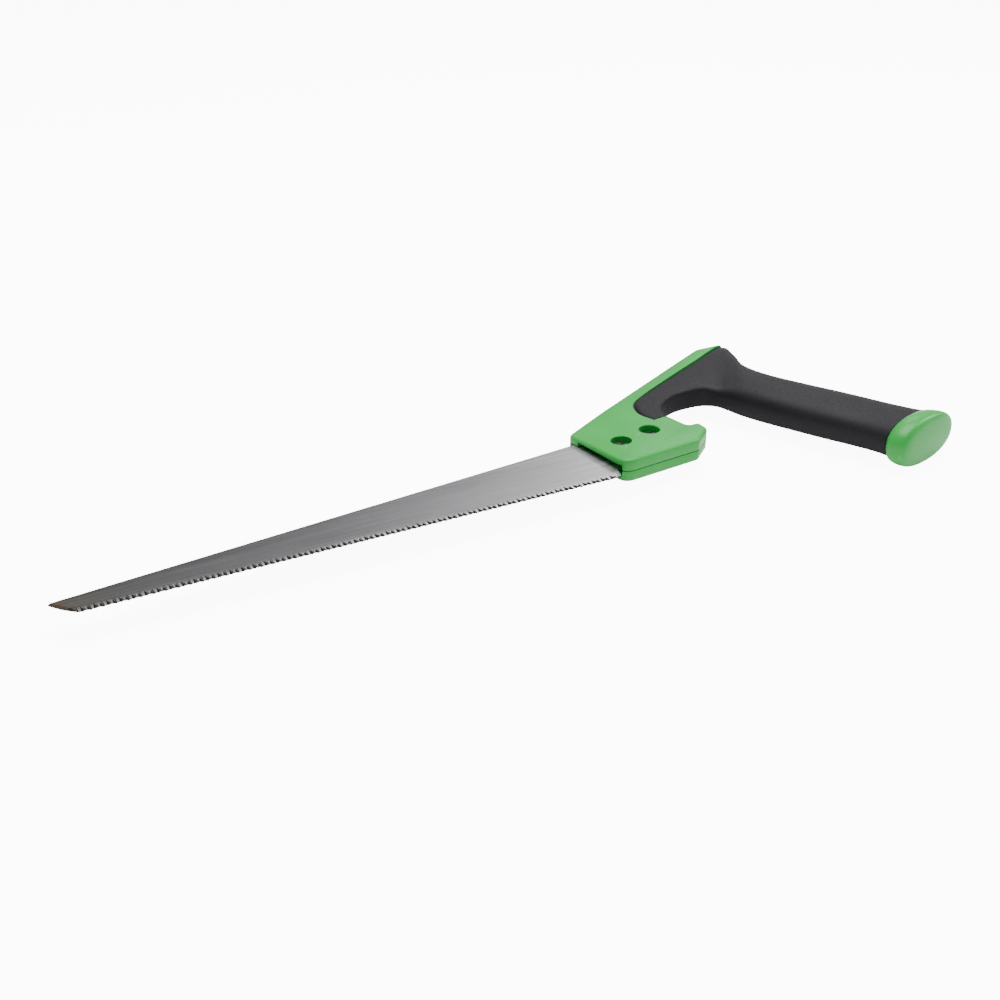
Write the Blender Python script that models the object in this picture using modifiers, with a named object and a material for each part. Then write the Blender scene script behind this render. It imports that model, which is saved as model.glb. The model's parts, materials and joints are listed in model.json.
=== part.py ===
"""Drywall saw: a tapered blade clamped between two handle shells by two saw screws.

A soft sleeve covers the web and the pistol grip, and a cap closes the grip's end. The saw lies on
its right side. Shapes are drawn in saw coordinates: the origin is the heel of the tooth line on the
blade's middle plane, +X runs along the teeth to the handle, +Y towards the spine, and +Z out of the
left side. Units are metres.
"""
import math

import bmesh
import bpy
from mathutils import Matrix, Vector

# Driving dimensions
GAP = 0.0003                    # clearance between touching pieces
MERGE = 0.00002                 # distance under which welded points are one
FLAT_ANGLE = math.radians(0.5)  # faces that meet flatter than this are one face
BLADE_REACH = 0.2985            # heel of the tooth line to the point
BLADE_THICKNESS = 0.0010
HEEL_WIDTH = 0.0463             # blade width where it enters the handle
POINT_HEIGHT = 0.0128           # the point's height over the tooth line
TOOTH_COUNT = 99
TOOTH_PITCH = 0.00288
TOOTH_DEPTH = 0.0022
END_EDGE_MIDDLE = (-0.2935, 0.0062)
HEEL_STEPS = [(0.0, 0.0), (0.0025, 0.0), (0.0048, 0.0072)]
SPINE_HEEL = (0.0003, HEEL_WIDTH)
GUARD_HALF = 0.0068             # half thickness of the guard, strip and web
EDGE_ROUND = 0.0016             # rounding of the guard's and strip's edges
RIB_HALF = 0.0040               # half thickness of the rib under the sleeve
SLEEVE_WALL = 0.0055            # soft material beside the stem
SLEEVE_SKIN = 0.0045            # soft material over and under the stem
STEM_WALL = 0.0030              # wall of the hollow stem
CORNER_SEGMENTS = 5
FAR = 0.0300                    # reach of cutters past the surface
PARTING_LOW = (-0.02, -0.07)    # corners of the blocks that part the shells
PARTING_HIGH = (0.23, 0.15)

# Screw wells and the fasteners at the bottom of them
WELLS = {"front": (0.0203, 0.0281), "rear": (0.0424, 0.0327)}
WELL_RADIUS = 0.0061
WELL_FLOOR = 0.0018             # the floor's height over the blade's middle plane
HEAD_RADIUS = 0.0052
HEAD_HEIGHT = 0.0011
HEAD_SLOT = (0.0012, 0.0006)    # width and depth of the driver slot
BARREL_RADIUS = 0.0028
BARREL_BORE = 0.0021
SCREW_RADIUS = 0.0018

# Slot mouth at the front: half its height, then x, y, corner radius
MOUTH_HALF = 0.0035
MOUTH_OUTLINE = [
    (-0.0060, 0.0055, 0.0),
    (0.0125, 0.0068, 0.0),
    (0.0085, 0.0462, 0.0),
    (-0.0060, 0.0478, 0.0),
]

# The blade's tang inside the guard: x, y, corner radius
TANG_OUTLINE = [
    (0.0085, 0.0088, 0.0),
    (0.0500, 0.0135, 0.003),
    (0.0500, 0.0400, 0.003),
    (0.0075, 0.0452, 0.0),
]

# Colours
GREEN = (0.22, 0.56, 0.27, 1.0)
BLACK = (0.035, 0.033, 0.038, 1.0)
STEEL = (0.46, 0.45, 0.46, 1.0)
ZINC = (0.40, 0.40, 0.39, 1.0)

# Guard, rib under the sleeve, and strip along the spine: x, y, corner radius
CORE_OUTLINE = [
    (0.0060, 0.0020, 0.0080),
    (0.0595, 0.0073, 0.0050),
    (0.0730, 0.0185, 0.0040),
    (0.0730, 0.0275, 0.0030),
    (0.0660, 0.0275, 0.0030),
    (0.0632, 0.0438, 0.0020),
    (0.0588, 0.0455, 0.0020),
    (0.0625, 0.0590, 0.0060),
    (0.0720, 0.0700, 0.0080),
    (0.0880, 0.0762, 0.0080),
    (0.1100, 0.0790, 0.0080),
    (0.1500, 0.1050, 0.0080),
    (0.1645, 0.1200, 0.0030),
    (0.1640, 0.1262, 0.0030),
    (0.1425, 0.1258, 0.0120),
    (0.0350, 0.0712, 0.0300),
    (0.0003, 0.0505, 0.0050),
]

# Sleeve stations, from the tongue's foot round the horn and down the grip:
# finger side x and y, back side x and y, half thickness, squareness of the section
SLEEVE_STATIONS = [
    (0.0626, 0.0446, 0.0504, 0.0424, 0.0068, 8.0),
    (0.0660, 0.0530, 0.0503, 0.0550, 0.0068, 8.0),
    (0.0730, 0.0620, 0.0560, 0.0690, 0.0068, 8.0),
    (0.0840, 0.0683, 0.0710, 0.0790, 0.0069, 7.0),
    (0.0960, 0.0700, 0.1000, 0.0937, 0.0072, 6.0),
    (0.1070, 0.0690, 0.1280, 0.1070, 0.0080, 5.0),
    (0.1130, 0.0630, 0.1605, 0.1225, 0.0090, 3.8),
    (0.1170, 0.0560, 0.1592, 0.1060, 0.0105, 3.2),
    (0.1200, 0.0477, 0.1525, 0.0880, 0.0117, 2.6),
    (0.1242, 0.0364, 0.1554, 0.0683, 0.0120, 2.4),
    (0.1305, 0.0217, 0.1662, 0.0446, 0.0122, 2.3),
    (0.1397, 0.0017, 0.1802, 0.0181, 0.0122, 2.3),
    (0.1486, -0.0162, 0.1911, -0.0044, 0.0120, 2.3),
    (0.1541, -0.0279, 0.1979, -0.0178, 0.0121, 2.3),
    (0.1571, -0.0373, 0.2034, -0.0272, 0.0126, 2.3),
]
STEM_START = 5                  # first station that the stem runs through
HOLLOW_START = 9                # first station of the stem's hollow
SPIGOT_START = 12               # first station of the cap's spigot

# Cap stations, from the joint to the domed end
CAP_STATIONS = [
    (0.1569, -0.0377, 0.2039, -0.0273, 0.0130, 2.3),
    (0.1547, -0.0410, 0.2063, -0.0297, 0.0142, 2.3),
    (0.1545, -0.0456, 0.2082, -0.0327, 0.0150, 2.3),
    (0.1567, -0.0491, 0.2091, -0.0355, 0.0143, 2.3),
    (0.1610, -0.0505, 0.2074, -0.0384, 0.0114, 2.2),
    (0.1701, -0.0493, 0.1997, -0.0416, 0.0060, 2.0),
]


def clear_scene():
    for item in list(bpy.data.objects):
        bpy.data.objects.remove(item, do_unlink=True)


def new_collection(name):
    collection = bpy.data.collections.new(name)
    bpy.context.scene.collection.children.link(collection)
    return collection


def make_material(name, colour, roughness, metallic=0.0):
    material = bpy.data.materials.new(name)
    material.use_nodes = True
    shader = material.node_tree.nodes["Principled BSDF"]
    shader.inputs["Base Color"].default_value = colour
    shader.inputs["Roughness"].default_value = roughness
    shader.inputs["Metallic"].default_value = metallic
    return material


def new_object(name, mesh, collection):
    item = bpy.data.objects.new(name, mesh)
    collection.objects.link(item)
    return item


def as_cutter(item):
    item.hide_render = True
    item.display_type = "WIRE"
    return item


def combine(target, tool, operation="DIFFERENCE"):
    modifier = target.modifiers.new(tool.name, "BOOLEAN")
    modifier.operation = operation
    modifier.object = tool
    modifier.solver = "EXACT"


def evaluated_mesh(item):
    graph = bpy.context.evaluated_depsgraph_get()
    return bpy.data.meshes.new_from_object(item.evaluated_get(graph))


def rounded(corners):
    """The outline through the corners, each turned on an arc of its own radius."""
    outline = []
    for index, (x, y, radius) in enumerate(corners):
        corner = Vector((x, y))
        before = Vector(corners[index - 1][:2]) - corner
        after = Vector(corners[(index + 1) % len(corners)][:2]) - corner
        if radius == 0.0:
            outline.append(corner)
            continue
        half = before.angle(after) / 2
        reach = radius / math.tan(half)
        reach = min(reach, 0.49 * before.length, 0.49 * after.length)
        start = corner + before.normalized() * reach
        end = corner + after.normalized() * reach
        for step in range(CORNER_SEGMENTS + 1):
            t = step / CORNER_SEGMENTS
            outline.append((1 - t) ** 2 * start + 2 * t * (1 - t) * corner + t ** 2 * end)
    return outline


def grown(outline, amount):
    """The outline moved outward by the amount; the outline runs anticlockwise."""
    moved = []
    for index, point in enumerate(outline):
        first = (point - outline[index - 1]).normalized()
        second = (outline[(index + 1) % len(outline)] - point).normalized()
        normal = Vector((first.y + second.y, -first.x - second.x)).normalized()
        slant = max(0.3, normal.dot(Vector((first.y, -first.x))))
        moved.append(point + normal * amount / slant)
    return moved


def circle(centre, radius, count):
    """An outline round a centre."""
    turns = [2 * math.pi * step / count for step in range(count)]
    return [Vector(centre) + radius * Vector((math.cos(turn), math.sin(turn))) for turn in turns]


def plate(name, outline, low, high, collection, holes=(), whole_faces=False):
    """A flat solid of the outline between two heights, with any holes through it."""
    curve = bpy.data.curves.new(name, "CURVE")
    curve.dimensions = "2D"
    curve.fill_mode = "BOTH"
    curve.extrude = (high - low) / 2
    for ring in (outline, *holes):
        spline = curve.splines.new("POLY")
        spline.points.add(len(ring) - 1)
        for point, place in zip(spline.points, ring):
            point.co = (place.x, place.y, 0.0, 1.0)
        spline.use_cyclic_u = True
    drawn = new_object(name + "_outline", curve, collection)
    bpy.context.view_layer.update()
    mesh = evaluated_mesh(drawn)
    bpy.data.objects.remove(drawn, do_unlink=True)
    shape = bmesh.new()
    shape.from_mesh(mesh)
    bmesh.ops.remove_doubles(shape, verts=shape.verts, dist=MERGE)
    if whole_faces:
        flat = [edge for edge in shape.edges if edge.calc_face_angle(1.0) < FLAT_ANGLE]
        bmesh.ops.dissolve_edges(shape, edges=flat, use_verts=False)
    bmesh.ops.translate(shape, verts=shape.verts, vec=(0.0, 0.0, (low + high) / 2))
    bmesh.ops.recalc_face_normals(shape, faces=shape.faces)
    shape.to_mesh(mesh)
    shape.free()
    return new_object(name, mesh, collection)


def smooth_stations(stations, steps):
    """Stations on a smooth curve through the given ones, with steps to each stretch."""
    result = []
    for index in range(len(stations) - 1):
        a = stations[max(index - 1, 0)]
        b = stations[index]
        c = stations[index + 1]
        d = stations[min(index + 2, len(stations) - 1)]
        for step in range(steps):
            t = step / steps
            result.append(tuple(
                0.5 * (2 * q + (r - p) * t + (2 * p - 5 * q + 4 * r - s) * t ** 2
                       + (3 * q - p - 3 * r + s) * t ** 3)
                for p, q, r, s in zip(a, b, c, d)))
    result.append(stations[-1])
    return result


def loft(name, stations, collection, side_inset=0.0, skin_inset=0.0, steps=3, count=28):
    """A closed solid through the stations' sections, each a squared ellipse."""
    shape = bmesh.new()
    rings = []
    for inner_x, inner_y, outer_x, outer_y, half, square in smooth_stations(stations, steps):
        inner = Vector((inner_x, inner_y, 0.0))
        outer = Vector((outer_x, outer_y, 0.0))
        centre = (inner + outer) / 2
        reach = (outer - inner) / 2
        reach -= reach.normalized() * side_inset
        ring = []
        for step in range(count):
            angle = 2 * math.pi * (step + 0.5) / count
            across = math.copysign(abs(math.cos(angle)) ** (2 / square), math.cos(angle))
            height = math.copysign(abs(math.sin(angle)) ** (2 / square), math.sin(angle))
            place = centre + reach * across + Vector((0.0, 0.0, (half - skin_inset) * height))
            ring.append(shape.verts.new(place))
        rings.append([shape.edges.new((ring[i - 1], ring[i])) for i in range(count)])
        if len(rings) == 1:
            first = ring
    shape.faces.new(first)
    shape.faces.new(ring)
    for near, far in zip(rings, rings[1:]):
        bmesh.ops.bridge_loops(shape, edges=near + far)
    bmesh.ops.recalc_face_normals(shape, faces=shape.faces)
    mesh = bpy.data.meshes.new(name)
    shape.to_mesh(mesh)
    shape.free()
    return new_object(name, mesh, collection)


def cylinder(name, place, radius, low, high, collection, segments=32):
    shape = bmesh.new()
    bmesh.ops.create_cone(
        shape, cap_ends=True, segments=segments, radius1=radius, radius2=radius, depth=high - low,
        matrix=Matrix.Translation((place[0], place[1], (low + high) / 2)))
    mesh = bpy.data.meshes.new(name)
    shape.to_mesh(mesh)
    shape.free()
    return new_object(name, mesh, collection)


def box(name, low, high, collection):
    shape = bmesh.new()
    size = Vector(high) - Vector(low)
    centre = (Vector(high) + Vector(low)) / 2
    matrix = Matrix.Translation(centre) @ Matrix.Diagonal((*size, 1.0))
    bmesh.ops.create_cube(shape, size=1.0, matrix=matrix)
    mesh = bpy.data.meshes.new(name)
    shape.to_mesh(mesh)
    shape.free()
    return new_object(name, mesh, collection)


def finish(item, material):
    item.data.materials.clear()
    item.data.materials.append(material)


def make_blade(parts, steel):
    outline = [Vector((-BLADE_REACH, POINT_HEIGHT)), Vector(END_EDGE_MIDDLE)]
    for tooth in range(TOOTH_COUNT, 0, -1):
        outline.append(Vector((-tooth * TOOTH_PITCH, 0.0)))
        outline.append(Vector(((0.5 - tooth) * TOOTH_PITCH, TOOTH_DEPTH)))
    outline += [Vector(step) for step in HEEL_STEPS]
    outline += rounded(TANG_OUTLINE)
    outline.append(Vector(SPINE_HEEL))
    half = BLADE_THICKNESS / 2
    holes = [circle(place, BARREL_RADIUS + GAP, 24) for place in WELLS.values()]
    finish(plate("blade", outline, -half, half, parts, holes), steel)


def make_core(cutters):
    """Both shells as one shape, before they are parted along the middle plane."""
    outline = rounded(CORE_OUTLINE)
    core = plate("core", outline, -GUARD_HALF, GUARD_HALF, cutters, whole_faces=True)
    bevel = core.modifiers.new("edge_rounding", "BEVEL")
    bevel.width = EDGE_ROUND
    bevel.segments = 3
    bevel.use_clamp_overlap = False
    bevel.limit_method = "ANGLE"
    bevel.angle_limit = math.radians(60)
    ways = smooth_stations(SLEEVE_STATIONS, 3)
    sleeve_edge = [Vector(way[0:2]) for way in ways] + [Vector(way[2:4]) for way in reversed(ways)]
    sleeve_edge = grown(sleeve_edge, GAP)
    for name, low, high in (("left", RIB_HALF, FAR), ("right", -FAR, -RIB_HALF)):
        combine(core, as_cutter(plate("sleeve_seat_" + name, sleeve_edge, low, high, cutters)))
    stem = loft("stem", SLEEVE_STATIONS[STEM_START:], cutters, SLEEVE_WALL, SLEEVE_SKIN, 3, 24)
    combine(core, as_cutter(stem), "UNION")
    hollow = loft("stem_hollow", SLEEVE_STATIONS[HOLLOW_START:] + CAP_STATIONS[1:2], cutters,
                  SLEEVE_WALL + STEM_WALL, SLEEVE_SKIN + STEM_WALL, 2, 24)
    combine(core, as_cutter(hollow))
    mouth = plate("mouth", rounded(MOUTH_OUTLINE), -MOUTH_HALF, MOUTH_HALF, cutters)
    combine(core, as_cutter(mouth))
    bed = BLADE_THICKNESS / 2 + GAP
    tang_edge = grown(rounded(TANG_OUTLINE), GAP)
    combine(core, as_cutter(plate("tang_bed", tang_edge, -bed, bed, cutters)))
    for name, place in WELLS.items():
        for label, radius, low, high in (
                ("well_left_", WELL_RADIUS, WELL_FLOOR, FAR),
                ("well_right_", WELL_RADIUS, -FAR, -WELL_FLOOR),
                ("bore_", BARREL_RADIUS + GAP, -FAR, FAR)):
            combine(core, as_cutter(cylinder(label + name, place, radius, low, high, cutters)))
    return as_cutter(core)


def make_shells(core, parts, cutters, green):
    """The core parted along the middle plane into a left and a right shell."""
    bpy.context.view_layer.update()
    for name, low, high in (("left", -FAR, GAP / 2), ("right", -GAP / 2, FAR)):
        shell = new_object("handle_shell_" + name, evaluated_mesh(core), parts)
        keep_off = box("parting_" + name, (*PARTING_LOW, low), (*PARTING_HIGH, high), cutters)
        combine(shell, as_cutter(keep_off))
        finish(shell, green)


def make_sleeve(parts, cutters, black):
    sleeve = loft("grip_sleeve", SLEEVE_STATIONS, parts)
    rib = RIB_HALF + GAP
    seat = plate("rib_seat", grown(rounded(CORE_OUTLINE), GAP), -rib, rib, cutters)
    combine(sleeve, as_cutter(seat))
    stem_seat = loft("stem_seat", SLEEVE_STATIONS[STEM_START:] + CAP_STATIONS[1:2], cutters,
                     SLEEVE_WALL - GAP, SLEEVE_SKIN - GAP, 3, 24)
    combine(sleeve, as_cutter(stem_seat))
    finish(sleeve, black)


def make_cap(parts, cutters, green):
    cap = loft("end_cap", CAP_STATIONS, parts, 0.0, 0.0, 3, 32)
    spigot = loft("spigot", SLEEVE_STATIONS[SPIGOT_START:] + CAP_STATIONS[1:2], cutters,
                  SLEEVE_WALL + STEM_WALL + GAP, SLEEVE_SKIN + STEM_WALL + GAP, 2, 24)
    combine(cap, as_cutter(spigot), "UNION")
    finish(cap, green)


def make_fasteners(name, place, parts, cutters, zinc):
    """A slotted screw from the left and the sleeve nut it turns into from the right."""
    seat = WELL_FLOOR + GAP
    top = seat + HEAD_HEIGHT
    screw = cylinder("saw_screw_" + name, place, HEAD_RADIUS, seat, top, parts)
    shank = cylinder("shank_" + name, place, SCREW_RADIUS, -seat, seat + HEAD_HEIGHT / 2, cutters, 20)
    combine(screw, as_cutter(shank), "UNION")
    nut = cylinder("sleeve_nut_" + name, place, HEAD_RADIUS, -top, -seat, parts)
    root = -seat - HEAD_HEIGHT / 2
    barrel = cylinder("barrel_" + name, place, BARREL_RADIUS, root, WELL_FLOOR, cutters, 24)
    combine(nut, as_cutter(barrel), "UNION")
    bore = cylinder("thread_" + name, place, BARREL_BORE, -seat - GAP, FAR, cutters, 20)
    combine(nut, as_cutter(bore))
    width, depth = HEAD_SLOT
    for item, low, high in ((screw, top - depth, FAR), (nut, -FAR, depth - top)):
        slot = box("slot_" + item.name, (place[0] - HEAD_RADIUS * 2, place[1] - width / 2, low),
                   (place[0] + HEAD_RADIUS * 2, place[1] + width / 2, high), cutters)
        combine(item, as_cutter(slot))
        finish(item, zinc)


def stand_on_base(parts, cutters):
    """Put the frame's origin under the middle of the saw, at its lowest point."""
    bpy.context.view_layer.update()
    graph = bpy.context.evaluated_depsgraph_get()
    corners = []
    for item in parts.objects:
        evaluated = item.evaluated_get(graph)
        corners += [item.matrix_world @ vertex.co for vertex in evaluated.data.vertices]
    low = Vector([min(corner[axis] for corner in corners) for axis in range(3)])
    high = Vector([max(corner[axis] for corner in corners) for axis in range(3)])
    root = new_object("saw_origin", None, cutters)
    root.location = (-(low.x + high.x) / 2, -(low.y + high.y) / 2, -low.z)
    for item in list(parts.objects) + [cutter for cutter in cutters.objects if cutter != root]:
        item.parent = root


def shade(parts):
    for item in parts.objects:
        item.data.shade_smooth()
        item.data.set_sharp_from_angle(angle=math.radians(35))


def main():
    clear_scene()
    parts = new_collection("drywall_saw")
    cutters = new_collection("cutters")
    green = make_material("green_plastic", GREEN, 0.42)
    black = make_material("black_soft_grip", BLACK, 0.62)
    steel = make_material("satin_steel", STEEL, 0.34, 1.0)
    zinc = make_material("zinc_plate", ZINC, 0.38, 1.0)
    make_blade(parts, steel)
    make_shells(make_core(cutters), parts, cutters, green)
    make_sleeve(parts, cutters, black)
    make_cap(parts, cutters, green)
    for name, place in WELLS.items():
        make_fasteners(name, place, parts, cutters, zinc)
    shade(parts)
    stand_on_base(parts, cutters)


main()
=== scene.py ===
"""Drywall saw: looks for a saw with a tapered blade, a green two-part handle and a soft black grip.

Shapes are drawn in saw coordinates and moved into place at the end. The origin is the heel of the
tooth line on the blade's middle plane, +X runs along the teeth to the handle, +Y towards the spine
and +Z out of the left side. Units are metres.
"""

import json
import math

import bmesh
import bpy
from mathutils import Matrix, Vector

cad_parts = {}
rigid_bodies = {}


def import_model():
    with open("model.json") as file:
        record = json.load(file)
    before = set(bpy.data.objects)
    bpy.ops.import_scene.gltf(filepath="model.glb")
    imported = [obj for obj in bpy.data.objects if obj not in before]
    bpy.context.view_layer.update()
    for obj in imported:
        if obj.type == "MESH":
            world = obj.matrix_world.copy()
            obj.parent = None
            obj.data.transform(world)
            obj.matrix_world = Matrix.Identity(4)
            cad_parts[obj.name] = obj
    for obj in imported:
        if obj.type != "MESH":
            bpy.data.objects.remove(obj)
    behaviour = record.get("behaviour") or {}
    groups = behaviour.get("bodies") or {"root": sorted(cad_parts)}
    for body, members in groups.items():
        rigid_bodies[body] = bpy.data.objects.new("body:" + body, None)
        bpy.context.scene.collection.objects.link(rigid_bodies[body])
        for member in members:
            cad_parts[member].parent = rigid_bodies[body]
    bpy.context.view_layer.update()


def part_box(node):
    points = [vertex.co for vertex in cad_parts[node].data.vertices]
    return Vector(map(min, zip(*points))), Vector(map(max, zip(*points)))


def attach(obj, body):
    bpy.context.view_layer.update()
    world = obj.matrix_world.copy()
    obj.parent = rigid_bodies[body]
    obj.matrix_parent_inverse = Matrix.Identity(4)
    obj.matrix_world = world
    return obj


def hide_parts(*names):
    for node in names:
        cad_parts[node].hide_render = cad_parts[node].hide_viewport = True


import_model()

# Sizes shared by several pieces
GAP = 0.0003                    # clearance between touching pieces
MERGE = 0.00002                 # distance under which two points are one
FAR = 0.0300                    # reach of cutters past a surface

# Blade
BLADE_REACH = 0.2985            # heel of the tooth line to the point
BLADE_HALF = 0.0005
END_EDGE = [(-0.2985, 0.0128), (-0.2962, 0.0094), (-0.2938, 0.0064), (-0.2908, 0.0034)]
END_GRIND = 0.00128             # how far the ground land on the end edge reaches along the blade
END_GRIND_RISE = 0.00072        # how far the land rises towards the spine
END_CLEAR = 0.0010              # plain edge left between the end edge and the first tooth
TOOTH_PAIRS = 50
PAIR_PITCH = 0.00576
# Gullets within a pair: distance along the blade and depth
WIDE_GULLET = [(0.0001, 0.0), (0.0004, 0.0041), (0.0024, 0.0036), (0.0031, 0.0)]
NARROW_GULLET = [(0.0009, 0.0), (0.0013, 0.0027), (0.0020, 0.0025), (0.0025, 0.0)]
FAR_DEPTH = 0.12                # depth of the gullets on the right face beside those on the left
TOOTH_SET = 0.00018
TOOTH_SHADE_ZONE = 0.0044             # height over the tooth line within which filed faces get painted shade
HEEL_STEPS = [(0.0008, 0.0), (0.0025, 0.0), (0.0048, 0.0072)]
SPINE_HEEL = (0.0003, 0.0463)
# Tang inside the handle: x, y, corner radius
TANG = [
    (0.0085, 0.0088, 0.0),
    (0.0500, 0.0135, 0.003),
    (0.0500, 0.0400, 0.003),
    (0.0075, 0.0452, 0.0),
]

# Handle
GUARD_HALF = 0.0068             # half thickness of the guard, strip and web
EDGE_ROUND = 0.0020             # rounding of the guard's and strip's edges
GROOVE = 0.0009                 # groove between the shells and the sleeve
SEAM_ROUND = 0.0003             # rounding beside the parting line
RIB_HALF = 0.0040               # half thickness of the rib under the sleeve
LIP_HALF = 0.0053               # half thickness of the sleeve's lip in the groove
CREASE = ((0.0075, 0.0015), (0.0294, 0.0221))
CREASE_TILT = math.radians(3.2) # fall of the guard's face in front of the crease
CREASE_SOFT = 0.0035            # width over which the crease is rounded
WELLS = {"front": (0.0203, 0.0281), "rear": (0.0424, 0.0327)}
WELL_RADIUS = 0.0061
WELL_FLOOR = 0.0018
WELL_RIM = 0.0004               # chamfer round the mouth of a well
BARREL_RADIUS = 0.0028
MOUTH_HALF = 0.0033             # half height of the recess round the blade at the guard's front
MOUTH = [(-0.0060, 0.0042), (0.0030, 0.0053), (0.0125, 0.0060), (0.0085, 0.0424), (-0.0060, 0.0436)]
# Slit for the blade in front of the tang's bed
BED_FRONT = [
    (-0.0060, -0.0040),
    (0.0022, -0.0040),
    (0.0078, 0.0070),
    (0.0095, 0.0460),
    (-0.0060, 0.0510),
]

# Fasteners
HEAD_RADIUS = 0.0052
HEAD_HEIGHT = 0.0011
SLOT_WIDTH = 0.0012
SLOT_DEPTH = 0.0006
SCREW_RADIUS = 0.0018
SLOT_TURNS = {1: math.radians(35), -1: math.radians(70)}

# Fineness of round shapes
BORE_SEGMENTS = 40
WELL_SEGMENTS = 56
HEAD_SEGMENTS = 48
LOFT_STEPS = 7
LOFT_COUNT = 72
EDGE_STEPS = 6
SHARP_ANGLE = math.radians(32)

# Guard, rib under the sleeve, and strip along the spine: x, y, corner radius
CORE_OUTLINE = [
    (0.0060, 0.0020, 0.0080),
    (0.0595, 0.0073, 0.0050),
    (0.0734, 0.0187, 0.0045),
    (0.0737, 0.0282, 0.0042),
    (0.0660, 0.0275, 0.0030),
    (0.0632, 0.0438, 0.0020),
    (0.0588, 0.0455, 0.0020),
    (0.0625, 0.0590, 0.0060),
    (0.0720, 0.0700, 0.0080),
    (0.0880, 0.0762, 0.0080),
    (0.1100, 0.0790, 0.0080),
    (0.1500, 0.1050, 0.0080),
    (0.1628, 0.1195, 0.0030),
    (0.1624, 0.1262, 0.0030),
    (0.1425, 0.1258, 0.0120),
    (0.0350, 0.0712, 0.0300),
    (-0.0002, 0.0520, 0.0065),
]

# Sleeve stations, from the tongue's foot round the horn and down the grip:
# finger side x and y, back side x and y, half thickness, squareness of the section
SLEEVE_STATIONS = [
    (0.0628, 0.0448, 0.0530, 0.0430, 0.0067, 6.0),
    (0.0660, 0.0530, 0.0508, 0.0550, 0.0068, 6.0),
    (0.0730, 0.0620, 0.0564, 0.0686, 0.0068, 6.5),
    (0.0840, 0.0683, 0.0713, 0.0786, 0.0069, 6.5),
    (0.0960, 0.0700, 0.1002, 0.0933, 0.0072, 6.0),
    (0.1070, 0.0690, 0.1280, 0.1070, 0.0080, 5.0),
    (0.1130, 0.0630, 0.1618, 0.1232, 0.0090, 3.8),
    (0.1170, 0.0560, 0.1594, 0.1062, 0.0105, 3.2),
    (0.1200, 0.0477, 0.1525, 0.0880, 0.0117, 2.6),
    (0.1242, 0.0364, 0.1554, 0.0683, 0.0120, 2.4),
    (0.1305, 0.0217, 0.1662, 0.0446, 0.0122, 2.3),
    (0.1397, 0.0017, 0.1802, 0.0181, 0.0122, 2.3),
    (0.1486, -0.0162, 0.1911, -0.0044, 0.0120, 2.3),
    (0.1541, -0.0279, 0.1979, -0.0178, 0.0121, 2.3),
    (0.1571, -0.0373, 0.2034, -0.0272, 0.0126, 2.3),
]

# Cap stations, from the joint to the domed end
CAP_STATIONS = [
    (0.1575, -0.0375, 0.2034, -0.0277, 0.0124, 2.3),
    (0.1569, -0.0382, 0.2042, -0.0275, 0.0132, 2.3),
    (0.1550, -0.0412, 0.2062, -0.0299, 0.0142, 2.3),
    (0.1552, -0.0454, 0.2077, -0.0328, 0.0148, 2.3),
    (0.1569, -0.0487, 0.2088, -0.0351, 0.0147, 2.3),
    (0.1585, -0.0499, 0.2088, -0.0370, 0.0139, 2.3),
    (0.1609, -0.0504, 0.2075, -0.0385, 0.0122, 2.2),
    (0.1654, -0.0500, 0.2039, -0.0402, 0.0090, 2.2),
    (0.1751, -0.0481, 0.1948, -0.0430, 0.0045, 2.0),
]

# The saw's place in the frame, from the blade's box
blade_low, blade_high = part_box("blade")
PLACE = Vector((blade_low.x + BLADE_REACH, blade_low.y, (blade_low.z + blade_high.z) / 2))

CAMERA_PLACE = Vector((-0.3566, -0.5256, 0.3110))
CAMERA_TURN = (math.radians(62.8), 0.0, math.radians(-28.4))
CAMERA_LENS = 46.8

cutters = bpy.data.collections.new("cutters")
bpy.context.scene.collection.children.link(cutters)


# ---------------------------------------------------------------- shapes

def rounded(corners, segments=8):
    """The outline through the corners, each turned on an arc of its own radius."""
    outline = []
    for index, (x, y, radius) in enumerate(corners):
        corner = Vector((x, y))
        before = Vector(corners[index - 1][:2]) - corner
        after = Vector(corners[(index + 1) % len(corners)][:2]) - corner
        if radius == 0.0:
            outline.append(corner)
            continue
        reach = radius / math.tan(before.angle(after) / 2)
        reach = min(reach, 0.49 * before.length, 0.49 * after.length)
        start = corner + before.normalized() * reach
        end = corner + after.normalized() * reach
        for step in range(segments + 1):
            t = step / segments
            outline.append((1 - t) ** 2 * start + 2 * t * (1 - t) * corner + t ** 2 * end)
    return outline


def grown(outline, amount):
    """The outline moved outward by the amount; the outline runs anticlockwise."""
    moved = []
    for index, point in enumerate(outline):
        first = (point - outline[index - 1]).normalized()
        second = (outline[(index + 1) % len(outline)] - point).normalized()
        normal = Vector((first.y + second.y, -first.x - second.x)).normalized()
        slant = max(0.3, normal.dot(Vector((first.y, -first.x))))
        moved.append(point + normal * amount / slant)
    return moved


def smooth_stations(stations, steps):
    """Stations on a smooth curve through the given ones, with steps to each stretch."""
    result = []
    for index in range(len(stations) - 1):
        a = stations[max(index - 1, 0)]
        b = stations[index]
        c = stations[index + 1]
        d = stations[min(index + 2, len(stations) - 1)]
        for step in range(steps):
            t = step / steps
            result.append(tuple(
                0.5 * (2 * q + (r - p) * t + (2 * p - 5 * q + 4 * r - s) * t ** 2
                       + (3 * q - p - 3 * r + s) * t ** 3)
                for p, q, r, s in zip(a, b, c, d)))
    result.append(stations[-1])
    return result


def as_object(name, shape, collection=None):
    mesh = bpy.data.meshes.new(name)
    shape.to_mesh(mesh)
    shape.free()
    item = bpy.data.objects.new(name, mesh)
    (collection or bpy.context.scene.collection).objects.link(item)
    return item


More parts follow.
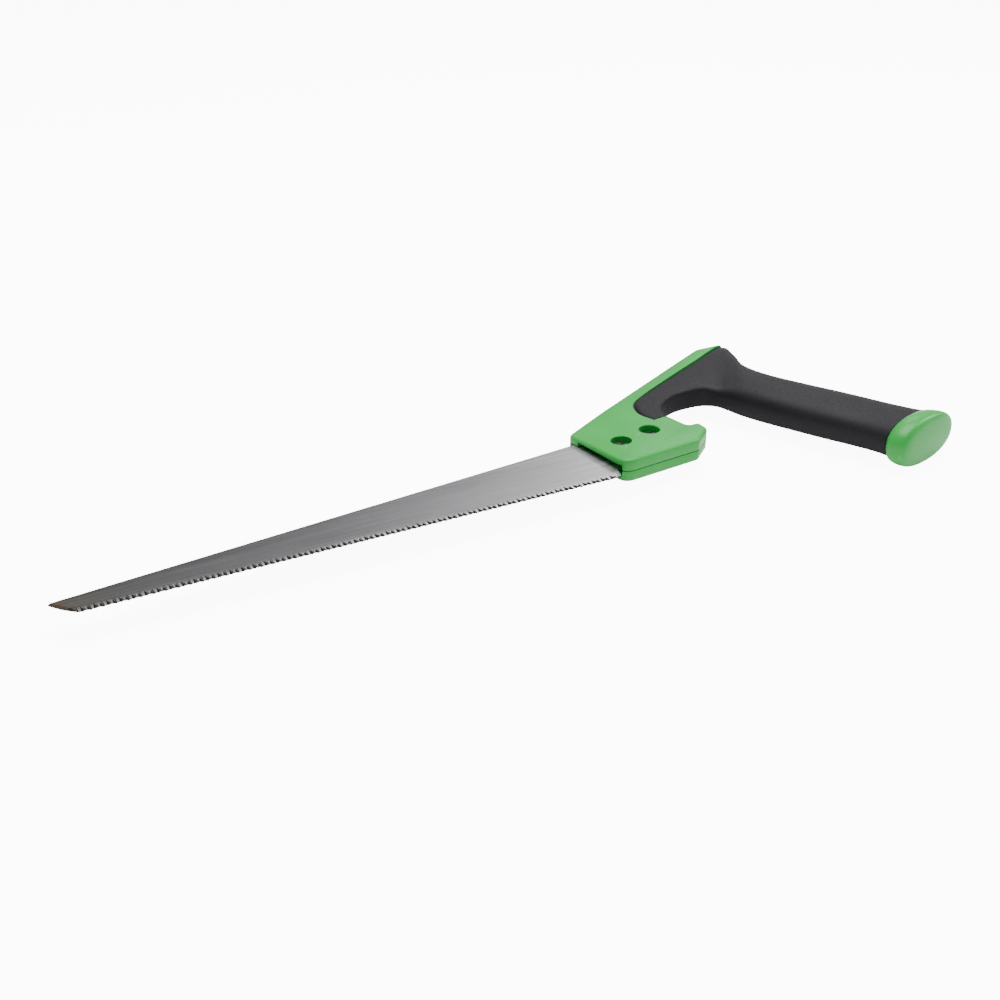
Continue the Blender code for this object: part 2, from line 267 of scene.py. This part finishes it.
def slab(outline, low, high):
    """A flat solid of the outline between two heights. Returns the shape and its upper face."""
    shape = bmesh.new()
    face = shape.faces.new([shape.verts.new((point.x, point.y, low)) for point in outline])
    raised = bmesh.ops.extrude_face_region(shape, geom=[face])["geom"]
    corners = [part for part in raised if isinstance(part, bmesh.types.BMVert)]
    bmesh.ops.translate(shape, verts=corners, vec=(0.0, 0.0, high - low))
    bmesh.ops.recalc_face_normals(shape, faces=shape.faces)
    top = next(part for part in raised if isinstance(part, bmesh.types.BMFace))
    return shape, top


def round_edges(shape, edges, width, segments):
    bmesh.ops.bevel(shape, geom=edges, offset=width, offset_type="OFFSET", segments=segments,
                    profile=0.5, affect="EDGES", clamp_overlap=False, material=-1)


def loft(stations, steps, count):
    """A closed solid through the stations' sections, each a squared ellipse."""
    shape = bmesh.new()
    rings = []
    ends = []
    for inner_x, inner_y, outer_x, outer_y, half, square in smooth_stations(stations, steps):
        inner = Vector((inner_x, inner_y, 0.0))
        outer = Vector((outer_x, outer_y, 0.0))
        ring = []
        for step in range(count):
            angle = 2 * math.pi * (step + 0.5) / count
            across = math.copysign(abs(math.cos(angle)) ** (2 / square), math.cos(angle))
            height = math.copysign(abs(math.sin(angle)) ** (2 / square), math.sin(angle))
            place = (inner + outer) / 2 + (outer - inner) / 2 * across
            ring.append(shape.verts.new((place.x, place.y, half * height)))
        rings.append([shape.edges.new((ring[i - 1], ring[i])) for i in range(count)])
        ends.append(ring)
    shape.faces.new(ends[0])
    shape.faces.new(ends[-1])
    for near, far in zip(rings, rings[1:]):
        bmesh.ops.bridge_loops(shape, edges=near + far)
    bmesh.ops.recalc_face_normals(shape, faces=shape.faces)
    return shape


def turned(profile, place, segments):
    """A closed solid of a half profile, radius and height, spun about an upright axis."""
    shape = bmesh.new()
    points = [shape.verts.new((place[0] + radius, place[1], height)) for radius, height in profile]
    line = [shape.edges.new(pair) for pair in zip(points, points[1:])]
    bmesh.ops.spin(shape, geom=points + line, cent=(place[0], place[1], 0.0), axis=(0.0, 0.0, 1.0),
                   angle=2 * math.pi, steps=segments, use_merge=True, use_duplicate=False)
    bmesh.ops.remove_doubles(shape, verts=shape.verts, dist=MERGE)
    bmesh.ops.recalc_face_normals(shape, faces=shape.faces)
    return shape


def bore(place):
    """A cutter for the barrel's hole, right through."""
    radius = BARREL_RADIUS + GAP
    return turned([(0.0, -FAR), (radius, -FAR), (radius, FAR), (0.0, FAR)], place, BORE_SEGMENTS)


def flat(points):
    return [Vector(point) for point in points]


def cut(target, other, operation="DIFFERENCE"):
    modifier = target.modifiers.new(other.name, "BOOLEAN")
    modifier.operation = operation
    modifier.object = other
    modifier.solver = "EXACT"


def settle(item, mirrored=False):
    """Apply the modifiers, move the mesh to its place in the frame, and shade it."""
    bpy.context.view_layer.update()
    graph = bpy.context.evaluated_depsgraph_get()
    mesh = bpy.data.meshes.new_from_object(item.evaluated_get(graph))
    shape = bmesh.new()
    shape.from_mesh(mesh)
    bmesh.ops.remove_doubles(shape, verts=shape.verts, dist=MERGE / 4)
    if mirrored:
        bmesh.ops.scale(shape, verts=shape.verts, vec=(1.0, 1.0, -1.0))
        bmesh.ops.reverse_faces(shape, faces=shape.faces)
    bmesh.ops.translate(shape, verts=shape.verts, vec=PLACE)
    shape.to_mesh(mesh)
    shape.free()
    mesh.shade_smooth()
    mesh.set_sharp_from_angle(angle=SHARP_ANGLE)
    item.modifiers.clear()
    item.data = mesh
    return item


def tool(name, shape):
    """A shape that cuts or joins another and is removed at the end."""
    item = as_object(name, shape, cutters)
    item.hide_render = True
    item.display_type = "WIRE"
    return item


# ---------------------------------------------------------------- pieces

def tooth_row(side):
    """One face's run of teeth: wide and narrow gullets in turn, shallow on the right face."""
    run = []
    for pair in range(TOOTH_PAIRS, 0, -1):
        for tooth, lean in ((0, 1), (1, -1)):
            start = -pair * PAIR_PITCH + tooth * PAIR_PITCH / 2
            for reach, depth in WIDE_GULLET if lean * side > 0 else NARROW_GULLET:
                depth *= 1.0 if side > 0 else FAR_DEPTH
                run.append((start + reach, depth, 0.0 if depth else lean * TOOTH_SET))
    return run


def make_blade():
    """A plate with filed teeth; each face has its own run of tooth corners."""
    left = tooth_row(1)
    right = tooth_row(-1)
    rest = flat(HEEL_STEPS) + rounded(TANG) + [Vector(SPINE_HEEL)]
    end = flat(END_EDGE)
    start = END_EDGE[-1][0] + END_CLEAR
    first = next(i for i, corner in enumerate(right) if corner[0] > start)
    outline = end + [Vector(corner[:2]) for corner in right[first:]] + rest
    shape, top = slab(outline, -BLADE_HALF, BLADE_HALF)
    shape.verts.ensure_lookup_table()
    lower = shape.verts[:len(outline)]
    upper = shape.verts[len(outline):]
    for number, (under, over) in enumerate(zip(right[first:], left[first:])):
        index = len(end) + number
        upper[index].co.xy = over[:2]
        upper[index].co.z += over[2]
        lower[index].co.z += under[2]
    for index in range(len(end)):
        upper[index].co.x += END_GRIND
        upper[index].co.y += END_GRIND_RISE if index else 0.0
    bmesh.ops.triangulate(shape, faces=[face for face in shape.faces if len(face.verts) > 4])
    blade = as_object("saw_blade", shape)
    for name, place in WELLS.items():
        cut(blade, tool("blade_hole_" + name, bore(place)))
    return settle(blade)


def soften_crease(shape):
    """Let the guard's face fall away in front of a soft crease."""
    start = Vector((*CREASE[0], GUARD_HALF))
    along = (Vector(CREASE[1]) - Vector(CREASE[0])).normalized()
    front = Vector((-along.y, along.x, 0.0))
    for tilt, shift in ((CREASE_TILT / 3, CREASE_SOFT), (CREASE_TILT * 2 / 3, CREASE_SOFT / 2),
                        (CREASE_TILT, 0.0)):
        normal = front * math.sin(tilt) + Vector((0.0, 0.0, math.cos(tilt)))
        origin = start - front * shift
        cutting = bmesh.ops.bisect_plane(
            shape, geom=shape.verts[:] + shape.edges[:] + shape.faces[:], dist=MERGE / 10,
            plane_co=origin, plane_no=normal, clear_outer=True)
        rim = [part for part in cutting["geom_cut"] if isinstance(part, bmesh.types.BMEdge)]
        bmesh.ops.holes_fill(shape, edges=rim, sides=0)


def sleeve_edge():
    """The sleeve's outline seen from the side."""
    ways = smooth_stations(SLEEVE_STATIONS, EDGE_STEPS)
    return [Vector(way[0:2]) for way in ways] + [Vector(way[2:4]) for way in reversed(ways)]


def make_shell(name, side):
    """One half of the handle: guard, rib under the sleeve and strip along the spine."""
    shape, top = slab(rounded(CORE_OUTLINE), GAP / 2, GUARD_HALF)
    bottom = next(face for face in shape.faces if face.normal.z < -0.5)
    round_edges(shape, list(bottom.edges), SEAM_ROUND, 2)
    soften_crease(shape)
    facing = {face for face in shape.faces
              if face.normal.z > 0.9 and face.calc_center_median().z > RIB_HALF}
    rim = [edge for edge in shape.edges if len(facing.intersection(edge.link_faces)) == 1]
    round_edges(shape, rim, EDGE_ROUND, 6)
    shell = as_object(name, shape)
    cut(shell, tool(name + "_seat", slab(grown(sleeve_edge(), GROOVE), RIB_HALF, FAR)[0]))
    cut(shell, tool(name + "_mouth", slab(flat(MOUTH), -MOUTH_HALF, MOUTH_HALF)[0]))
    bed = BLADE_HALF + GAP
    cut(shell, tool(name + "_bed", slab(grown(rounded(TANG), GAP), -bed, bed)[0]))
    cut(shell, tool(name + "_bed_front", slab(flat(BED_FRONT), -bed, bed)[0]))
    rim = WELL_RADIUS + WELL_RIM
    for label, place in WELLS.items():
        well = turned([(0.0, WELL_FLOOR), (WELL_RADIUS, WELL_FLOOR),
                       (WELL_RADIUS, GUARD_HALF - WELL_RIM), (rim, GUARD_HALF), (rim, FAR),
                       (0.0, FAR)], place, WELL_SEGMENTS)
        cut(shell, tool(name + "_well_" + label, well))
        cut(shell, tool(name + "_bore_" + label, bore(place)))
    return settle(shell, side < 0)


def make_sleeve():
    """The soft sleeve, seated on the shells' rib, with a lip that fills the groove's floor."""
    sleeve = as_object("soft_grip", loft(SLEEVE_STATIONS, LOFT_STEPS, LOFT_COUNT))
    rib = RIB_HALF + GAP
    lip = tool("lip", slab(grown(sleeve_edge(), GROOVE - GAP / 2), -LIP_HALF, LIP_HALF)[0])
    cut(lip, tool("lip_limit", slab(grown(rounded(CORE_OUTLINE), -GAP), -FAR, FAR)[0]), "INTERSECT")
    cut(sleeve, lip, "UNION")
    cut(sleeve, tool("rib_seat", slab(grown(rounded(CORE_OUTLINE), GAP), -rib, rib)[0]))
    return settle(sleeve)


def make_cap():
    """The cap that closes the grip's end."""
    return settle(as_object("grip_cap", loft(CAP_STATIONS, LOFT_STEPS, LOFT_COUNT)))


def make_fastener(name, place, side):
    """A slotted head at the bottom of a well, with its shank or barrel."""
    seat = WELL_FLOOR + GAP
    top = seat + HEAD_HEIGHT
    stem = SCREW_RADIUS if side > 0 else BARREL_RADIUS
    foot = -seat if side > 0 else -WELL_FLOOR
    head = turned([(0.0, foot), (stem, foot), (stem, seat), (HEAD_RADIUS, seat),
                   (HEAD_RADIUS, top - 0.0004), (HEAD_RADIUS - 0.0002, top - 0.0001),
                   (HEAD_RADIUS - 0.0006, top), (0.0, top)], place, HEAD_SEGMENTS)
    item = as_object(name, head)
    half = SLOT_WIDTH / 2
    reach = HEAD_RADIUS * 2
    corners = [(-reach, -half), (reach, -half), (reach, half), (-reach, half)]
    turn = Matrix.Rotation(SLOT_TURNS[side], 2)
    outline = [Vector(place) + turn @ Vector(corner) for corner in corners]
    cut(item, tool(name + "_slot", slab(outline, top - SLOT_DEPTH, FAR)[0]))
    return settle(item, side < 0)


# ---------------------------------------------------------------- finishes

def new_group(name, inputs, outputs):
    """An effect group with float, colour or vector sockets."""
    group = bpy.data.node_groups.new(name, "ShaderNodeTree")
    for label, kind, value in inputs:
        socket = group.interface.new_socket(name=label, in_out="INPUT", socket_type=kind)
        if value is not None:
            socket.default_value = value
    for label, kind in outputs:
        group.interface.new_socket(name=label, in_out="OUTPUT", socket_type=kind)
    return group


def ramp(tree, source, stops):
    """A colour ramp over a value: stops are position and grey level or colour."""
    node = tree.nodes.new("ShaderNodeValToRGB")
    elements = node.color_ramp.elements
    while len(elements) < len(stops):
        elements.new(0.5)
    for element, (position, level) in zip(elements, stops):
        element.position = position
        element.color = level if isinstance(level, tuple) else (level, level, level, 1.0)
    tree.links.new(source, node.inputs["Fac"])
    return node.outputs["Color"]


def noise(tree, place, scale, detail=4.0, roughness=0.55):
    node = tree.nodes.new("ShaderNodeTexNoise")
    node.inputs["Scale"].default_value = scale
    node.inputs["Detail"].default_value = detail
    node.inputs["Roughness"].default_value = roughness
    tree.links.new(place, node.inputs["Vector"])
    return node.outputs["Fac"]


def stretched(tree, place, turn, scale):
    node = tree.nodes.new("ShaderNodeMapping")
    node.inputs["Rotation"].default_value = turn
    node.inputs["Scale"].default_value = scale
    tree.links.new(place, node.inputs["Vector"])
    return node.outputs["Vector"]


def math_node(tree, operation, first, second):
    node = tree.nodes.new("ShaderNodeMath")
    node.operation = operation
    node.use_clamp = True
    for socket, value in zip(node.inputs, (first, second)):
        if isinstance(value, (int, float)):
            socket.default_value = value
        else:
            tree.links.new(value, socket)
    return node.outputs[0]


def mix(tree, amount, first, second, blend="MIX"):
    node = tree.nodes.new("ShaderNodeMix")
    node.data_type = "RGBA"
    node.blend_type = blend
    sockets = (node.inputs[0], node.inputs[6], node.inputs[7])
    for socket, value in zip(sockets, (amount, first, second)):
        if isinstance(value, (int, float, tuple)):
            socket.default_value = value
        else:
            tree.links.new(value, socket)
    return node.outputs[2]


def moulding_group():
    """Fine moulded or blasted texture: a height, and a cloudy mask for colour and roughness."""
    group = new_group(
        "moulding grain",
        [("Place", "NodeSocketVector", None), ("Grain scale", "NodeSocketFloat", 1500.0),
         ("Cloud scale", "NodeSocketFloat", 40.0)],
        [("Height", "NodeSocketFloat"), ("Clouds", "NodeSocketFloat"),
         ("Specks", "NodeSocketFloat")])
    source = group.nodes.new("NodeGroupInput")
    sink = group.nodes.new("NodeGroupOutput")
    grain = group.nodes.new("ShaderNodeTexNoise")
    grain.inputs["Detail"].default_value = 3.0
    clouds = group.nodes.new("ShaderNodeTexNoise")
    clouds.inputs["Detail"].default_value = 5.0
    specks = group.nodes.new("ShaderNodeTexVoronoi")
    specks.inputs["Scale"].default_value = 260.0
    for node in (grain, clouds, specks):
        group.links.new(source.outputs["Place"], node.inputs["Vector"])
    group.links.new(source.outputs["Grain scale"], grain.inputs["Scale"])
    group.links.new(source.outputs["Cloud scale"], clouds.inputs["Scale"])
    group.links.new(grain.outputs["Fac"], sink.inputs["Height"])
    group.links.new(clouds.outputs["Fac"], sink.inputs["Clouds"])
    near = ramp(group, specks.outputs["Distance"], [(0.0, 1.0), (0.07, 0.0)])
    group.links.new(near, sink.inputs["Specks"])
    return group


def wear_group():
    """A mask that is light where edges are rubbed, broken up by noise."""
    group = new_group(
        "rubbed edges",
        [("Place", "NodeSocketVector", None), ("Break up", "NodeSocketFloat", 300.0)],
        [("Mask", "NodeSocketFloat")])
    source = group.nodes.new("NodeGroupInput")
    sink = group.nodes.new("NodeGroupOutput")
    shape = group.nodes.new("ShaderNodeNewGeometry")
    edges = ramp(group, shape.outputs["Pointiness"], [(0.56, 0.0), (0.66, 1.0)])
    broken = group.nodes.new("ShaderNodeTexNoise")
    broken.inputs["Detail"].default_value = 6.0
    group.links.new(source.outputs["Place"], broken.inputs["Vector"])
    group.links.new(source.outputs["Break up"], broken.inputs["Scale"])
    patches = ramp(group, broken.outputs["Fac"], [(0.45, 0.0), (0.62, 1.0)])
    group.links.new(math_node(group, "MULTIPLY", edges, patches), sink.inputs["Mask"])
    return group


MOULDING = moulding_group()
WEAR = wear_group()


def use_group(tree, group, place, **values):
    node = tree.nodes.new("ShaderNodeGroup")
    node.node_tree = group
    tree.links.new(place, node.inputs["Place"])
    for label, value in values.items():
        node.inputs[label.replace("_", " ")].default_value = value
    return node.outputs


def start_material(name, roughness, metallic=0.0, gloss=0.5):
    material = bpy.data.materials.new(name)
    material.use_nodes = True
    tree = material.node_tree
    shader = tree.nodes["Principled BSDF"]
    shader.inputs["Roughness"].default_value = roughness
    shader.inputs["Metallic"].default_value = metallic
    shader.inputs["Specular IOR Level"].default_value = gloss
    place = tree.nodes.new("ShaderNodeTexCoord").outputs["Object"]
    return material, tree, shader, place


def bumped(tree, shader, height, strength, distance):
    node = tree.nodes.new("ShaderNodeBump")
    node.inputs["Strength"].default_value = strength
    node.inputs["Distance"].default_value = distance
    tree.links.new(height, node.inputs["Height"])
    tree.links.new(node.outputs["Normal"], shader.inputs["Normal"])


def roughened(tree, shader, clouds, low, high):
    """Roughness that varies with the clouds between two values."""
    tree.links.new(ramp(tree, clouds, [(0.3, low), (0.7, high)]), shader.inputs["Roughness"])


def green_plastic():
    material, tree, shader, place = start_material("green satin plastic", 0.34, 0.0, 0.26)
    grain = use_group(tree, MOULDING, place, Grain_scale=2600.0, Cloud_scale=38.0)
    worn = use_group(tree, WEAR, place, Break_up=420.0)["Mask"]
    tones = ramp(tree, grain["Clouds"], [
        (0.32, (0.016, 0.300, 0.040, 1.0)), (0.70, (0.024, 0.335, 0.050, 1.0))])
    colour = mix(tree, math_node(tree, "MULTIPLY", worn, 0.35), tones, (0.22, 0.56, 0.25, 1.0))
    tree.links.new(colour, shader.inputs["Base Color"])
    roughened(tree, shader, grain["Clouds"], 0.29, 0.37)
    bumped(tree, shader, grain["Height"], 0.12, 0.00010)
    return material


def soft_black():
    material, tree, shader, place = start_material("black soft grip", 0.55, 0.0, 0.15)
    grain = use_group(tree, MOULDING, place, Grain_scale=1900.0, Cloud_scale=26.0)
    worn = use_group(tree, WEAR, place, Break_up=300.0)["Mask"]
    tones = ramp(tree, grain["Clouds"], [
        (0.30, (0.0085, 0.0078, 0.0105, 1.0)), (0.72, (0.0135, 0.0125, 0.0165, 1.0))])
    dust = math_node(tree, "MULTIPLY", grain["Specks"], 0.08)
    dusty = mix(tree, dust, tones, (0.16, 0.155, 0.16, 1.0))
    rub = math_node(tree, "MULTIPLY", worn, 0.15)
    colour = mix(tree, rub, dusty, (0.05, 0.05, 0.055, 1.0))
    tree.links.new(colour, shader.inputs["Base Color"])
    roughened(tree, shader, grain["Clouds"], 0.48, 0.60)
    bumped(tree, shader, grain["Height"], 0.30, 0.00025)
    return material


def satin_steel():
    """Brushed along the blade, with a painted reflection that darkens it towards the point and
    lightens it towards the heel, a browner tint at the point, and painted shade on the filed teeth.
    """
    material, tree, shader, place = start_material("satin saw steel", 0.34, 1.0)
    along = stretched(tree, place, (0.0, 0.0, 0.0), (14.0, 900.0, 900.0))
    fine = noise(tree, along, 1.0, 6.0, 0.6)
    broad = noise(tree, stretched(tree, place, (0.0, 0.0, 0.0), (5.0, 60.0, 60.0)), 1.0, 3.0)
    axes = tree.nodes.new("ShaderNodeSeparateXYZ")
    tree.links.new(place, axes.inputs[0])
    toward = tree.nodes.new("ShaderNodeMapRange")
    toward.inputs["From Min"].default_value = PLACE.x - BLADE_REACH
    toward.inputs["From Max"].default_value = PLACE.x
    tree.links.new(axes.outputs["X"], toward.inputs["Value"])
    # Painted reflection: this ramp lightens the steel from the point to the heel, where the blade
    # reflects more light; the brown at the point is the steel's own tint.
    length = ramp(tree, toward.outputs[0], [
        (0.0, (0.15, 0.105, 0.055, 1.0)), (0.03, (0.115, 0.108, 0.095, 1.0)),
        (0.10, (0.115, 0.113, 0.117, 1.0)), (0.45, (0.165, 0.162, 0.169, 1.0)),
        (0.8, (0.36, 0.35, 0.365, 1.0)), (1.0, (0.50, 0.485, 0.505, 1.0))])
    brushed = mix(tree, 0.30, length, ramp(tree, fine, [(0.3, 0.32), (0.7, 0.78)]), "OVERLAY")
    clouded = mix(tree, 0.20, brushed, ramp(tree, broad, [(0.3, 0.35), (0.7, 0.65)]), "OVERLAY")
    # Painted shade: faces that are not flat, low in the tooth zone, are coloured near black for the
    # shaded filed faces and gullets.
    facing = tree.nodes.new("ShaderNodeSeparateXYZ")
    tree.links.new(tree.nodes.new("ShaderNodeNewGeometry").outputs["Normal"], facing.inputs[0])
    level = math_node(tree, "ABSOLUTE", facing.outputs["Z"], 0.0)
    upright = math_node(tree, "GREATER_THAN", level, 0.97)
    clear = math_node(tree, "GREATER_THAN", axes.outputs["Y"], PLACE.y + TOOTH_SHADE_ZONE)
    plain = math_node(tree, "MAXIMUM", upright, clear)
    tooth_shade = mix(tree, plain, (0.045, 0.043, 0.040, 1.0), clouded)
    tree.links.new(tooth_shade, shader.inputs["Base Color"])
    tree.links.new(ramp(tree, fine, [(0.3, 0.30), (0.7, 0.42)]), shader.inputs["Roughness"])
    bumped(tree, shader, fine, 0.10, 0.00005)
    return material


def zinc_plate():
    material, tree, shader, place = start_material("dull zinc plate", 0.40, 1.0)
    grain = use_group(tree, MOULDING, place, Grain_scale=3200.0, Cloud_scale=300.0)
    # Painted shade: the zinc's colour is kept dark so that the heads read as shaded at the bottom
    # of their wells.
    tones = ramp(tree, grain["Clouds"], [
        (0.3, (0.09, 0.11, 0.095, 1.0)), (0.7, (0.14, 0.16, 0.145, 1.0))])
    tree.links.new(tones, shader.inputs["Base Color"])
    roughened(tree, shader, grain["Clouds"], 0.32, 0.50)
    bumped(tree, shader, grain["Height"], 0.2, 0.00008)
    return material


def put(piece, material, slot, *nodes):
    """Give a piece its finish, hang it on the root body and hide the parts that it stands for."""
    piece.data.materials.clear()
    piece.data.materials.append(material)
    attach(piece, "root")
    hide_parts(*nodes)


green = green_plastic()
black = soft_black()
steel = satin_steel()
zinc = zinc_plate()

put(make_blade(), steel, "satin_steel", "blade")
put(make_shell("left_handle_shell", 1), green, "green_plastic", "handle_shell_left")
put(make_shell("right_handle_shell", -1), green, "green_plastic", "handle_shell_right")
put(make_sleeve(), black, "black_soft_grip", "grip_sleeve")
put(make_cap(), green, "green_plastic", "end_cap")
for label, place in WELLS.items():
    put(make_fastener("slotted_screw_" + label, place, 1), zinc, "zinc_plate", "saw_screw_" + label)
    put(make_fastener("slotted_nut_" + label, place, -1), zinc, "zinc_plate", "sleeve_nut_" + label)
for item in list(cutters.objects):
    bpy.data.objects.remove(item, do_unlink=True)


# ---------------------------------------------------------------- stage

def make_floor():
    """A pale floor, brighter to the camera than it is to the saw, so that it stays near white."""
    shape = bmesh.new()
    bmesh.ops.create_grid(shape, x_segments=2, y_segments=2, size=60.0)
    floor = as_object("studio_floor", shape)
    material, tree, shader, place = start_material("pale floor", 0.9)
    tone = ramp(tree, noise(tree, place, 3.0), [(0.0, 0.86), (1.0, 0.90)])
    tree.links.new(tone, shader.inputs["Base Color"])
    seen = tree.nodes.new("ShaderNodeLightPath").outputs["Is Camera Ray"]
    glow = mix(tree, seen, (0.03, 0.03, 0.03, 1.0), (1.0, 1.0, 1.0, 1.0))
    tree.links.new(glow, shader.inputs["Emission Color"])
    shader.inputs["Emission Strength"].default_value = 10.0
    floor.data.materials.append(material)


def area_light(name, place, target, size, power):
    data = bpy.data.lights.new(name, "AREA")
    data.shape = "DISK"
    data.size = size
    data.energy = power
    lamp = bpy.data.objects.new(name, data)
    lamp.location = place
    lamp.rotation_euler = (Vector(target) - Vector(place)).to_track_quat("-Z", "Y").to_euler()
    bpy.context.scene.collection.objects.link(lamp)


def light_stage():
    world = bpy.data.worlds.new("soft studio")
    world.use_nodes = True
    background = world.node_tree.nodes["Background"]
    background.inputs["Color"].default_value = (1.0, 1.0, 1.0, 1.0)
    background.inputs["Strength"].default_value = 0.50
    bpy.context.scene.world = world
    area_light("overhead", (0.25, 0.30, 1.9), (0.0, 0.0, 0.0), 1.7, 66.0)
    area_light("right", (1.50, -0.1, 1.0), (0.08, 0.0, 0.0), 0.8, 16.0)
    area_light("sheen", (1.06, 1.05, 0.90), (0.08, 0.0, 0.0), 0.5, 2.0)


def make_camera():
    camera = bpy.data.objects.new("camera", bpy.data.cameras.new("camera"))
    camera.data.lens = CAMERA_LENS
    camera.data.sensor_width = 36.0
    camera.data.clip_start = 0.01
    camera.location = PLACE + CAMERA_PLACE
    camera.rotation_euler = CAMERA_TURN
    bpy.context.scene.collection.objects.link(camera)
    bpy.context.scene.camera = camera


make_camera()
make_floor()
light_stage()
